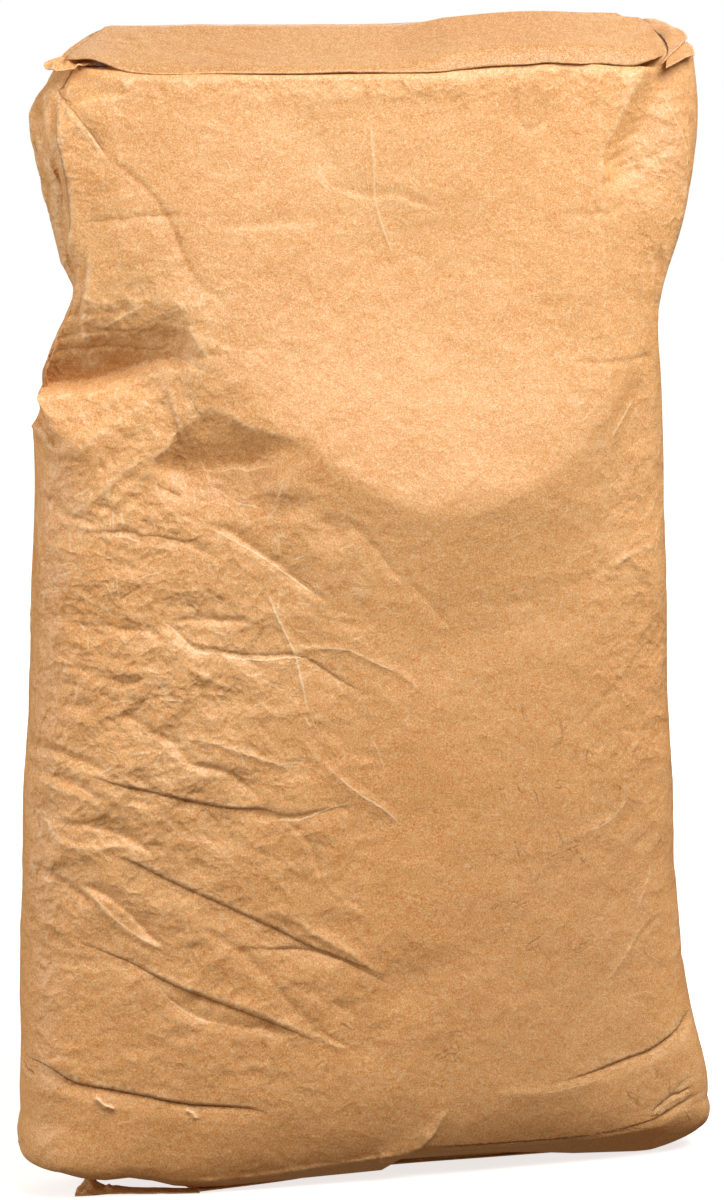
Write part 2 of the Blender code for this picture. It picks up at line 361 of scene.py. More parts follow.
bent([(-205, 495), (-182, 502), (-155, 506), (-130, 502)], 0.9, 3, 3, mark=-0.3)
bent([(-203, 506), (-172, 513), (-142, 515)], 0.8, 3, 3, mark=-0.2)
bent([(-198, 520), (-168, 525), (-144, 524)], 0.7, 3, 3)
bent([(-160, 515), (-152, 522), (-144, 529)], -0.6, 2, 2, mark=0.5)
bent([(-128, 500), (-120, 494), (-112, 488)], 0.9, 2, 3, mark=0.4)
bent([(-213, 471), (-204, 463), (-196, 455), (-199, 442)], 2.2, 7, 7)
bent([(-190, 440), (-172, 452), (-150, 466), (-132, 484)], -1.6, 9, 9)
bent([(-180, 432), (-164, 442), (-146, 456)], 1.2, 6, 6)
bent([(-176, 462), (-160, 470), (-146, 482)], -0.9, 5, 6)
bent([(-124, 478), (-119, 468), (-114, 461)], 1.0, 3, 4, mark=0.4)

# Creases between the waist and the belly
bent([(-184, 398), (-164, 398), (-146, 395), (-123, 392), (-111, 396)], 0.9, 2, 7, mark=-0.4)
worn([(-182, 396), (-164, 395), (-150, 391)], 0.5)
bent([(-115, 402), (-102, 398), (-88, 389), (-70, 376), (-52, 361), (-40, 353)], 2.0, (6, 14, 14, 6), 6)
worn([(-113, 400), (-88, 386), (-68, 372), (-48, 357)], 0.6)
bent([(-194, 406), (-175, 420), (-157, 435), (-144, 444)], -1.3, 9, 9)
bent([(-182, 401), (-166, 414), (-151, 429), (-142, 435)], -0.9, 5, 8)
bent([(-168, 400), (-158, 410), (-150, 417)], -0.8, 5, 6)
worn([(-196, 405), (-175, 419), (-157, 434)], 0.3)
bent([(-200, 408), (-184, 404), (-175, 402)], 1.2, 3, 4)
bent([(-180, 345), (-159, 340), (-148, 339), (-137, 330)], 1.2, 10, 6)
bent([(-142, 347), (-131, 339), (-121, 329), (-110, 327), (-92, 322), (-82, 314)], 1.2, 5, 7)
worn([(-140, 345), (-131, 337), (-121, 327), (-106, 325)], 0.6)
bent([(-135, 345), (-115, 346), (-92, 344), (-82, 340)], 1.3, 4, 4)
bent([(-114, 329), (-95, 325), (-80, 324), (-64, 324), (-48, 317), (-34, 307), (-18, 299)], 0.8, 1.5, 6,
     mark=-0.4)
worn([(-110, 326), (-95, 322), (-80, 321), (-64, 322), (-48, 320)], 0.8)
bent([(-82, 333), (-65, 327), (-47, 327), (-30, 325), (-12, 316), (3, 309), (19, 295)], -0.7, 4, 4)
worn([(-55, 330), (-47, 327), (-30, 325), (-12, 316), (3, 309)], 0.5)
bent([(-79, 363), (-71, 343), (-63, 325), (-59, 310), (-55, 290)], -0.6, 3, 3, rubbed=0.9)
bent([(-201, 318), (-183, 316), (-170, 311), (-157, 309), (-147, 314)], 1.6, 7, 6)
bent([(-128, 319), (-116, 312), (-98, 304)], -0.8, 4, 4)
bent([(4, 365), (14, 358), (23, 348), (35, 334)], 0.6, 6, 6)
bent([(-33, 405), (-26, 397), (-14, 385), (-2, 371), (4, 365)], 0.9, 7, 7)
dented((-39, 396), (9, 9), 1.6)
dented((-60, 410), (12, 6), 1.4)
dented((-70, 421), (14, 6), -1.2)
worn([(-16, 273), (-8, 254)], 0.5)

# Long folds of the belly's slack left half, from the side down to the right
bent([(-187, 256), (-167, 249), (-149, 245), (-126, 239), (-102, 234), (-83, 233), (-69, 229)],
     (1.0, 1.5, 1.8, 1.4), 1.4, (10, 14, 26, 24), end=0.15, mark=-0.6)
bent([(-102, 234), (-69, 228), (-48, 230), (-31, 232), (-22, 230)], 1.4, 3, 12, start=0.35, end=0.35)
worn([(-78, 226), (-60, 226), (-45, 231), (-28, 235)], 0.7)
bent([(-228, 271), (-202, 268), (-187, 263), (-172, 255)], 1.8, 6, 5, start=0)
bent([(-226, 258), (-209, 254), (-193, 250), (-184, 245), (-177, 239)], 1.6, 6, 7, start=0)
bent([(-181, 287), (-163, 290), (-154, 285), (-146, 280), (-136, 274), (-130, 267), (-123, 260),
      (-111, 258), (-101, 254)], 1.5, 6, 6)
bent([(-125, 261), (-111, 258), (-101, 254), (-87, 243)], 1.4, 4, 7)
bent([(-131, 277), (-111, 273), (-96, 267), (-81, 262), (-66, 256)], -0.9, 4, 4, rubbed=0.4)
bent([(-60, 276), (-48, 260), (-33, 247), (-17, 235), (-4, 226), (2, 219)], -0.9, 5, 8)
worn([(-40, 253), (-25, 240), (-8, 229), (2, 219)], 0.7)
bent([(-69, 226), (-60, 219), (-53, 208), (-49, 197), (-47, 187)], 1.0, 4, 4)
bent([(-177, 209), (-161, 204), (-144, 195), (-126, 186), (-109, 178), (-91, 169), (-73, 160),
      (-55, 150), (-36, 142), (-18, 134), (-1, 126)], (1.2, 1.7, 1.9, 1.4, 1.0), 1.6,
     (12, 20, 26, 20, 12, 10), start=0.1, end=0.35, mark=-0.5)
bent([(-88, 172), (-67, 168), (-49, 156), (-30, 144), (-12, 132)], -1.3, 8, 5)
bent([(-94, 151), (-76, 149), (-58, 148), (-36, 141), (-21, 133), (1, 121)], 1.1, 1.6, 11, end=0.35,
     mark=-0.4)
bent([(-203, 227), (-187, 225), (-173, 222), (-158, 216), (-147, 207)], 1.8, (5, 9, 10, 5), 8)
bent([(-222, 232), (-213, 230), (-203, 217), (-191, 211), (-173, 213), (-150, 210)], -1.2, 4, 6)
bent([(-222, 201), (-203, 193), (-188, 184), (-178, 174)], 2.0, 3.5, 6, start=0.05)
bent([(-194, 191), (-179, 186), (-165, 176), (-153, 164), (-142, 152)], 1.9, 7, 3.5)
bent([(-191, 188), (-180, 179), (-167, 166), (-141, 150)], -1.3, 4, 5)
worn([(-188, 187), (-178, 178), (-165, 165), (-144, 151)], 0.4)
bent([(-197, 157), (-179, 151), (-162, 144), (-150, 137), (-133, 128), (-109, 118), (-85, 108),
      (-67, 100), (-47, 90)], 1.3, 1.6, (8, 12, 15, 12, 8), start=0.25, end=0.25, mark=-0.6)
bent([(-150, 138), (-121, 125), (-97, 117), (-67, 103), (-30, 85)], -1.2, 8, 5)
bent([(-150, 133), (-136, 119), (-121, 110), (-103, 104), (-82, 102), (-61, 96)], 1.6, (6, 9, 9, 6), 7)
worn([(-148, 131), (-135, 117), (-120, 108), (-100, 103)], 0.4)
bent([(-123, 166), (-109, 157), (-94, 147), (-79, 131), (-64, 113), (-49, 98), (-30, 87)], 1.2, 6, 9)
bent([(-96, 112), (-78, 104), (-60, 95)], -0.8, 5, 5)
bent([(-75, 132), (-47, 118), (-22, 104)], 0.9, 7, 8)

# The right half is tighter: faint creases fan out from the side
bent([(110, 490), (135, 489), (155, 490), (172, 493)], 0.6, 3.5, 4.5, end=0.05)
bent([(138, 443), (148, 455), (157, 467)], -0.5, 3.5, 3.5, rubbed=0.6)
bent([(43, 348), (72, 348), (95, 351), (116, 359), (133, 365), (154, 371), (172, 377)], 0.4, 6, 6)
bent([(108, 264), (126, 279), (141, 292), (154, 304), (167, 319)], 0.5, 4, 5)
bent([(134, 364), (143, 368), (162, 375), (178, 378)], -0.8, 4, 4)
bent([(101, 201), (125, 208), (141, 214), (153, 226)], -0.6, 6, 6)
worn([(125, 208), (141, 214), (153, 226)], 0.5)
bent([(157, 155), (165, 168), (171, 183)], -0.5, 4, 4, rubbed=0.4)
bent([(137, 115), (150, 130), (161, 145)], -0.6, 5, 5, rubbed=0.4)
bent([(153, 130), (162, 141), (177, 153)], 0.6, 4, 4)

# The bottom: the ends of the folded corners show as a tuck at each side, and the paper turns under
bent([(-240, 86), (-233, 83), (-214, 81), (-195, 72), (-180, 69), (-156, 64), (-130, 58), (-103, 55),
      (-88, 53), (-79, 49)], (2.6, 2.6, 2.4, 2, 1.5), 1.6, 10, sharp=0.2, start=0, end=0.1, mark=-1.0)
bent([(-240, 80), (-232, 76), (-222, 74)], 1.0, 1.2, 3, mark=-0.8)
bent([(-183, 64), (-177, 60), (-171, 56)], -2.0, 1.2, 3.5, sharp=0.2, start=0.05, end=0.1, mark=1.0)
bent([(-129, 55), (-125, 52), (-122, 49)], -1.4, 1.2, 2.5, sharp=0.2, start=0.05, end=0.1, mark=0.7)
bent([(60, 52), (104, 51), (131, 55)], -0.8, 6, 12, sharp=1.5)
worn([(88, 50), (104, 51), (131, 55)], 0.3)
bent([(104, 56), (130, 61), (151, 66), (166, 69), (178, 74), (190, 80), (205, 90)],
     (1.2, 1.8, 2.0, 2.0), 1.6, 9, sharp=0.2, start=0.3, end=0.05, mark=-0.7)
bent([(-8, 11), (4, 16), (14, 21), (24, 32), (32, 46)], -3.2, 14, 3, sharp=0.8, start=0.05, end=0.5)
# A dark line of painted shadow along the bottom seam, and a pale line just under it
marked(smooth_line([(14, 22), (47, 20), (116, 19), (150, 23), (169, 27), (196, 36), (212, 40)]), -1.0)
marked(smooth_line([(20, 19), (47, 17.5), (116, 16.5), (150, 20)]), 0.4)
bent([(166, 30), (180, 38), (198, 43)], 1.0, 1.5, 3, mark=-0.8)
bent([(169, 26), (187, 33), (202, 40)], 1.0, 1.5, 3, mark=-0.5)
bent([(176, 36), (190, 46), (200, 52)], 0.8, 1.5, 3, mark=0.4)
bent([(-128, 8), (-100, 8), (-61, 12), (-16, 16), (4, 20)], -1.0, 2.5, 2.5, start=0.1, end=0.1)

# The top's left: creases that run in from the corner, and the hollow that they shade into
bent([(-187, 669), (-193, 660), (-199, 652)], 2.2, 5, 1.2, sharp=0.2, start=0, end=0.1, mark=-1.0)
worn([(-190, 669), (-196, 661), (-202, 653)], 0.9)
bent([(-197, 653), (-192, 648), (-186, 647), (-178, 648), (-169, 650), (-153, 651), (-148, 657)], 1.4,
     (6, 12, 12, 6), 2, sharp=0.4, start=0.02)
# Painted shade in the corner's crease
marked(smooth_line([(-198, 652), (-192, 648), (-186, 647)]), -0.7)
bent([(-191, 646), (-184, 641), (-179, 634), (-173, 626), (-168, 615)], 1.5, 9, 1.8, sharp=0.2, start=0.05,
     end=0.1, mark=-0.6)
bent([(-170, 625), (-171, 610), (-174, 596), (-178, 582)], -0.5, 8, 4)
bent([(-168, 615), (-153, 603), (-141, 592), (-130, 575), (-123, 554)], 1.0, 4, 12)
bent([(-130, 580), (-124, 560), (-115, 542), (-103, 532), (-93, 521)], 0.8, 4, 16)
bent([(-190, 577), (-165, 579), (-141, 581), (-120, 580)], 0.8, 3, 5, mark=-0.25)
bent([(-108, 573), (-81, 574), (-50, 576), (-35, 577)], 0.6, 12, 3.5)
bent([(-35, 598), (-20, 593), (-6, 590), (10, 591), (24, 585), (39, 581)], 0.7, 9, 3)
bent([(-6, 635), (-5, 611), (-4, 588), (1, 569), (7, 555)], -0.5, 2.5, 2.5, rubbed=0.5)
worn([(-39, 609), (-32, 593)], 0.4)
worn([(-63, 609), (-73, 599), (-77, 585)], 0.25)
worn([(-83, 604), (-102, 595)], 0.25)
bent([(-94, 653), (-82, 654), (-72, 649), (-63, 656)], 0.5, 3, 3)
bent([(88, 658), (85, 645), (87, 632), (96, 628), (103, 635), (102, 646)], 0.7, 3, 3)
dented((-21, 657), (34, 6), 1.4)
bent([(103, 578), (130, 577), (149, 582), (172, 598)], 0.5, 4, 4)
bent([(137, 615), (153, 621), (169, 628)], 0.5, 3, 3)
bent([(140, 603), (162, 609), (182, 615)], 0.7, 4, 3, mark=-0.2)
bent([(133, 595), (156, 598)], 0.5, 3, 3)
bent([(129, 589), (136, 571), (140, 547)], 0.6, 3, 3)
dented((-4, 545), (22, 30), 1.2)
dented((-12, 500), (22, 40), 1.2, turn=25)
dented((40, 470), (26, 34), 1.0, turn=30)

# The top's right: the corner is dented along a diagonal, with wrinkles at its end
bent([(137, 590), (153, 611), (166, 629), (176, 646), (188, 664)], (2.5, 5, 7, 7), (9, 13, 14, 11),
     (26, 38, 44, 44), sharp=3.0, power=(0.85, 1.5), end=0)
bent([(137, 605), (153, 614)], 0.9, 3, 4)
bent([(144, 599), (166, 605)], 0.9, 3, 4)
bent([(173, 642), (217, 647)], 0.9, 3, 4)

# The sides behind the front's rims are folded in at the top
bent([(-203, 652), (-200, 635), (-198, 612), (-197, 580), (-202, 545)], (1, 2, 6, 7, 3), 4.5, 24, sharp=0.6,
     power=(1.0, 1.5), start=0.05)
bent([(-212, 660), (-210, 642), (-207, 632), (-202, 614)], -1.5, 4, 8, sharp=0.5, start=0.05)
dented((-205, 598), (6, 32), 5)
dented((-230, 600), (24, 26), 6)
# Painted shade along the rim
marked(smooth_line([(-199, 648), (-195, 620), (-194, 580), (-199, 550)]), -0.5)
marked(np.array([(-226, 624), (-222, 616)]), -1.0)
worn([(-236, 612), (-228, 609)], 0.9)
bent([(176, 560), (176, 530), (175, 508)], 2, 6, 5, sharp=1)

# Small crumples left by handling: straight, sharp on their line and soft beside it
handling = np.random.default_rng(25)


def crumpled(count, low, high, slant, length, depth, reach):
    """Scatters short creases over a patch of the paper. slant is its mean and its spread."""
    for _ in range(count):
        spot = handling.uniform(low, high)
        turn = math.radians(handling.normal(*slant))
        half = handling.uniform(*length) / 2 * np.array([math.cos(turn), math.sin(turn)])
        size = handling.uniform(*depth) * handling.choice([-1, 1])
        near, off, share = beside(np.array([spot - half, spot + half]), handling.uniform(*reach))
        if len(near):
            wall = 1 - np.abs(off) / np.abs(off).max()
            push_flat[near] += size * wall * fade(share, 0.45, 0.45)


crumpled(60, (-215, 60), (40, 440), (-20, 30), (60, 150), (0.4, 1.0), (16, 42))
crumpled(36, (0, 60), (215, 420), (20, 45), (60, 150), (0.3, 0.7), (16, 42))
crumpled(30, (-190, 460), (200, 665), (40, 60), (60, 150), (0.1, 0.3), (20, 48))
crumpled(60, (200, 20), (480, 660), (0, 60), (70, 180), (0.6, 1.8), (20, 60))
crumpled(60, (-480, 20), (-200, 660), (0, 60), (70, 180), (0.6, 1.8), (20, 60))
crumpled(420, (-215, 60), (-10, 440), (-22, 30), (10, 45), (0.1, 0.5), (2, 6))
crumpled(160, (-215, 200), (-120, 440), (-10, 40), (8, 30), (0.1, 0.5), (1.8, 4))
crumpled(40, (-240, 180), (-203, 440), (88, 9), (20, 90), (0.2, 0.6), (1.6, 4))
crumpled(26, (-236, 540), (-206, 655), (86, 18), (25, 90), (0.8, 2.0), (5, 10))
crumpled(120, (-10, 60), (210, 400), (12, 40), (14, 50), (0.06, 0.3), (3, 8))
crumpled(70, (135, 180), (182, 500), (65, 35), (8, 32), (0.1, 0.45), (1.8, 5))
crumpled(70, (-200, 440), (-90, 540), (-10, 40), (10, 40), (0.15, 0.6), (3, 8))
crumpled(110, (-190, 440), (190, 660), (60, 60), (15, 60), (0.05, 0.2), (4, 12))
crumpled(140, (-300, 20), (-200, 660), (60, 50), (12, 45), (0.1, 0.6), (3, 9))
crumpled(110, (190, 20), (300, 660), (40, 50), (12, 45), (0.1, 0.6), (4, 11))
crumpled(160, (250, 30), (480, 650), (0, 50), (20, 90), (0.1, 0.9), (8, 22))
crumpled(160, (-480, 30), (-250, 650), (0, 50), (20, 90), (0.1, 0.9), (8, 22))

# Scuffs: short dark strokes where the lower right was rubbed, and pale scratches by the folds. Each row
# is a patch's two corners, how many, how far they lean in degrees, half their length and their mark.
SCUFFS = (((60, 130), (180, 285), 40, 90, 6, -0.6), ((-50, 60), (60, 130), 8, 90, 6, -0.5),
          ((-210, 240), (-20, 420), 90, 90, 8, 0.55), ((-238, 200), (-203, 440), 30, 14, 14, 0.35),
          ((-215, 330), (-160, 440), 24, 40, 9, 0.6), ((100, 380), (190, 640), 30, 90, 7, 0.5),
          ((-120, 560), (80, 660), 14, 90, 6, 0.4), ((-190, 505), (-100, 545), 18, 50, 6, 0.6),
          ((-240, 540), (-205, 655), 18, 8, 25, 0.5), ((185, 560), (215, 660), 14, 20, 14, 0.5),
          ((150, 20), (200, 60), 10, 40, 8, -0.5))
for low, high, count, spread, half_length, mark in SCUFFS:
    for _ in range(count):
        spot = handling.uniform(low, high)
        turn = math.radians(90 + handling.uniform(-spread, spread))
        half = handling.uniform(0.25, 1) * half_length * np.array([math.cos(turn), math.sin(turn)])
        marked(np.array([spot - half, spot + half]), mark * handling.uniform(0.5, 1))


def patches(spots, base=0.0):
    """Soft patches on the paper, added to the base: each one's place, its reach and its amount."""
    total = base + np.zeros(push.size)
    for at, size, amount in spots:
        total += amount * np.exp(-((across_flat - at[0]) / size[0]) ** 2
                                 - ((height_flat - at[1]) / size[1]) ** 2)
    return total


# How much the paper is crumpled: most in the slack left half, at the waist and along the side rims
CRUMPLED_AT = (((-225, 600), (25, 70), 0.7), ((-150, 300), (90, 150), 0.7), ((-225, 300), (25, 330), 0.6),
               ((-150, 500), (50, 50), 0.4), ((-190, 630), (25, 40), 0.5), ((170, 350), (40, 150), 0.35),
               ((190, 620), (30, 60), 0.4), ((-60, 100), (80, 60), 0.2), ((0, 655), (200, 10), 0.3))
CRUMPLED_FRONT = 0.18
CRUMPLED_BACK = 0.6
crumpled_share = np.clip(patches(CRUMPLED_AT, np.where(on_back, CRUMPLED_BACK, CRUMPLED_FRONT)), 0, 1)

# Where the paper is darker: along the foot, soiled low on the right, and painted shade in the waist's
# hollow, in the tuck under it and beside the top right dent
SOIL_AND_SHADE_AT = (((0, 0), (400, 30), 0.25), ((110, 130), (90, 130), 0.4), ((198, 635), (22, 44), 0.9),
             ((-185, 494), (60, 9), 1.1), ((-90, 424), (30, 12), 1.0))
soil_and_shade = patches(SOIL_AND_SHADE_AT)

# The folds are pressed flat where the top is folded over
TOP_HEIGHT = OUTLINES[-1][0]
PRESSED = 8
push = push_flat.reshape(row_count, column_count) * np.clip((TOP_HEIGHT - surface[:, :, 2]) / PRESSED, 0, 1)
sack_points = surface + normals * push[:, :, None] + CENTRING
sack_x, sack_y, sack_z = np.moveaxis(sack_points, 2, 0)

# At the waist the front reaches out to the outline, and the side is folded in behind its rim
RIM_HEIGHTS = (438, 449, 458, 466, 473, 481, 491, 506, 516, 526, 535, 541, 550, 562, 576, 600, 625)
RIM_OUT = (0, 7, 15, 23, 31, 34, 33, 27.5, 22.5, 16.5, 10.5, 6, 0.5, -2, -5, -4, 0)
BEHIND_RIM = (0, 0, 0, 0.5, 1, 1, 1, 1, 1, 0.9, 0.7, 0.3, 0, 0, 0, 0, 0)
RIM_FROM = -135
RIM_WIDTH = 50
RIM_DEPTH = 30
SIDE_FROM = -150
SIDE_SLANT = 0.3
behind = sack_y - sack_y[:, :1]
to_rim = np.clip((RIM_FROM - sack_x) / RIM_WIDTH, 0, 1) * np.clip(1 - behind / RIM_DEPTH, 0, 1)
sack_x -= to_rim * np.interp(sack_z, RIM_HEIGHTS, RIM_OUT)
left_side = (across < SIDE_FROM) & (np.arange(column_count) >= front_columns)
side_in = np.maximum(sack_x[:, :1] + SIDE_SLANT * behind - sack_x, 0) * left_side
sack_x += side_in * np.interp(sack_z, RIM_HEIGHTS, BEHIND_RIM)

# The top's left shoulder: the folded corner slopes down to the back and the left
SHOULDER_IN = 6
SHOULDER_DOWN = 4
SHOULDER_X, SHOULDER_Y, SHOULDER_Z = -145, -15, 648
SHOULDER_WIDTH, SHOULDER_DEPTH, SHOULDER_HEIGHT = 45, 40, 27
shoulder = (np.clip((sack_z - SHOULDER_Z) / SHOULDER_HEIGHT, 0, 1)
            * np.clip((SHOULDER_X - sack_x) / SHOULDER_WIDTH, 0, 1)
            * np.clip((sack_y - SHOULDER_Y) / SHOULDER_DEPTH, 0, 1))
sack_x += SHOULDER_IN * shoulder
sack_z -= SHOULDER_DOWN * shoulder

# The foot: below a seam along the front the paper turns under, most in the middle. Its left end stands
# clear of the ground over the loose strip, and its right end runs out along the ground.
UNDER_X = (-150, -128, -61, -16, 8, 14, 72, 132, 169, 205)
UNDER_FROM = (5, 6, 10, 14, 17, 20, 16, 16, 20, 33)
UNDER_DEPTH = (2, 7, 14, 17, 19, 20, 19, 15, 10, 4)
FRONT_DEPTH = 25
in_front = np.clip(-sack_y / FRONT_DEPTH, 0, 1)
under = np.clip(1 - (sack_z - SACK_FOOT) / np.interp(sack_x, UNDER_X, UNDER_FROM), 0, 1) * in_front
sack_y += under * np.interp(sack_x, UNDER_X, UNDER_DEPTH)
FOOT_HEIGHT = 46
LEFT_FOOT, RIGHT_FOOT, FOOT_END = -150, 110, 40
LEFT_OUT = 14
low_share = np.clip(1 - sack_z / FOOT_HEIGHT, 0, 1)
sack_x -= LEFT_OUT * np.clip((LEFT_FOOT - sack_x) / FOOT_END, 0, 1) * low_share
RIGHT_HEIGHTS = (1, 4, 8, 12, 20, 32)
RIGHT_OUT = (22, 20, 16, 12, 7, 0)
sack_x += np.clip((sack_x - RIGHT_FOOT) / FOOT_END, 0, 1) * np.interp(sack_z, RIGHT_HEIGHTS, RIGHT_OUT)
LIFT_X = (-215, -200, -187, -174, -160, -146, -132, -118, -100, 140, 205)
LIFT = (12, 14, 12, 11, 12, 9, 4, 1.5, 0, 0, 0)
sack_z += np.interp(sack_x, LIFT_X, LIFT) * low_share**2
SEAM_X = (2, 14, 70, 130, 165)
SEAM_LIFT = (0, 6, 6, 3, 0)
SEAM_DEPTH = 20
SEAM_HEIGHT = 14
sack_z += (np.interp(sack_x, SEAM_X, SEAM_LIFT) * np.clip(-sack_y / SEAM_DEPTH, 0, 1)
           * np.clip(1 - sack_z / SEAM_HEIGHT, 0, 1))
BELLY_X = (-120, 0, 100, 180)
BELLY_IN = (1, 5, 8, 6)
BELLY_FROM = 62
BELLY_REACH = 50
belly_turn = np.clip((BELLY_FROM - sack_z) / BELLY_REACH, 0, 1) ** 2 * np.clip(-sack_y / FRONT_DEPTH, 0, 1)
sack_y += belly_turn * np.interp(sack_x, BELLY_X, BELLY_IN)
sack_z[:] = np.maximum(sack_z, SACK_FOOT)

# Where the paper is rubbed pale: on the crests of its creases
CREST_HEIGHT = 0.5
CREST_WEAR = 0.7
spread_push = (np.roll(push, 2, axis=1) + np.roll(push, -2, axis=1)
               + np.roll(push, 2, axis=0) + np.roll(push, -2, axis=0)) / 4
crest = np.clip((push - spread_push) / CREST_HEIGHT, 0, 1)
crest[:2] = crest[-2:] = 0
wear = CREST_WEAR * crest.ravel()


def tube_mesh(grid):
    """The points and quads of a grid of points that is closed round."""
    rows, columns = grid.shape[:2]
    index = np.arange(rows * columns).reshape(rows, columns)
    after = np.roll(index, -1, axis=1)
    quads = np.stack([index[:-1], after[:-1], after[1:], index[1:]], axis=-1).reshape(-1, 4)
    return grid.reshape(-1, 3), quads


MM = 0.001


def make_object(name, points, faces, attributes=()):
    """A smooth object from points in mm, with a number for each point in each named attribute."""
    mesh = bpy.data.meshes.new(name)
    faces = faces.tolist() if isinstance(faces, np.ndarray) else [list(map(int, face)) for face in faces]
    mesh.from_pydata((points * MM).tolist(), [], faces)
    for label, values in attributes:
        layer = mesh.attributes.new(label, "FLOAT", "POINT")
        layer.data.foreach_set("value", np.asarray(values, np.float32))
    mesh.validate()
    mesh.shade_smooth()
    made = bpy.data.objects.new(name, mesh)
    bpy.context.scene.collection.objects.link(made)
    return made


# The end of a tube is closed over rings at those shares of its depth, which are a little narrower
END_RINGS = (0.6, 0.2)
END_NARROWING = 0.25


def with_ends(points, faces, rows, columns):
    """Closes a tube of points at both ends, by rings that draw in to the middle line."""
    points, faces = [points], list(faces)
    total = rows * columns
    for row, flip in ((0, True), (rows - 1, False)):
        ring = np.arange(columns) + row * columns
        outline = points[0][ring]
        centre = outline.mean(axis=0)
        slope = np.linalg.svd(outline - centre)[2][2]
        last = ring
        for share in END_RINGS:
            drawn = centre + (outline - centre) * np.array([1 - END_NARROWING * (1 - share), share, 1])
            drawn[:, 2] = outline[:, 2] + (drawn[:, 1] - outline[:, 1]) * (-slope[1] / slope[2])
            points.append(drawn)
            inner = np.arange(columns) + total
            total += columns
            for a in range(columns):
                b = (a + 1) % columns
                quad = (last[a], last[b], inner[b], inner[a])
                faces.append(quad[::-1] if flip else quad)
            last = inner
        faces.append(tuple(last[::-1]) if flip else tuple(last))
    return np.concatenate(points), faces


tube_points, tube_faces = tube_mesh(sack_points)
all_points, all_faces = with_ends(tube_points, tube_faces, row_count, column_count)
end_values = np.zeros(len(all_points) - push.size)
sack = make_object("sack_paper", all_points, all_faces, [
    (label, np.concatenate([values, end_values]))
    for label, values in (("wear", wear), ("crumple", crumpled_share), ("line_off", line_off),
                          ("line_mark", line_mark), ("soil_and_shade", soil_and_shade))
])


def thin_out(piece, most):
    """Merges points where the surface is flat, until the piece has at most that many triangles."""
    triangles = sum(len(face.vertices) - 2 for face in piece.data.polygons)
    modifier = piece.modifiers.new("thin", "DECIMATE")
    modifier.ratio = most / triangles
    thinned = bpy.data.meshes.new_from_object(
        piece.evaluated_get(bpy.context.evaluated_depsgraph_get()))
    piece.modifiers.clear()
    piece.data = thinned
    thinned.shade_smooth()


thin_out(sack, MOST_TRIANGLES)


def linear(hex_colour):
    """An sRGB hex colour as linear RGBA."""
    channels = [int(hex_colour[i:i + 2], 16) / 255 for i in (1, 3, 5)]
    return [c / 12.92 if c <= 0.04045 else ((c + 0.055) / 1.055) ** 2.4 for c in channels] + [1.0]


def new_material(name):
    """A material with no nodes yet, and its node tree."""
    material = bpy.data.materials.new(name)
    material.use_nodes = True
    tree = material.node_tree
    tree.nodes.clear()
    return material, tree


def add(tree, kind, links=(), **settings):
    """Adds a shader node. Settings named for an input set it; links are (input, socket or value)."""
    node = tree.nodes.new("ShaderNode" + kind)
    for key, value in settings.items():
        if hasattr(node, key):
            setattr(node, key, value)
        else:
            node.inputs[key.replace("_", " ")].default_value = value
    for target, source in links:
        if isinstance(source, bpy.types.NodeSocket):
            tree.links.new(source, node.inputs[target])
        else:
            node.inputs[target].default_value = source
    return node


# Sack kraft: unbleached long-fibred pine paper, machine glazed a little. It is matt and warm brown,
# with cloudy fibre, dark and pale flecks and hair-fine creases shaded by painted dark lines, and it turns
# pale where it is broken.
# The real fibre clumps are under 1 mm; they are drawn near 1.2 mm, which is as fine as shows here.
# Soiling, and painted shade in hollows and in the valve's slot, turn it a darker brown.
SOIL_AND_SHADE_TINT = "#8a5c38"
SOIL_AND_SHADE_COVER = 0.3
WAVER = 2.6


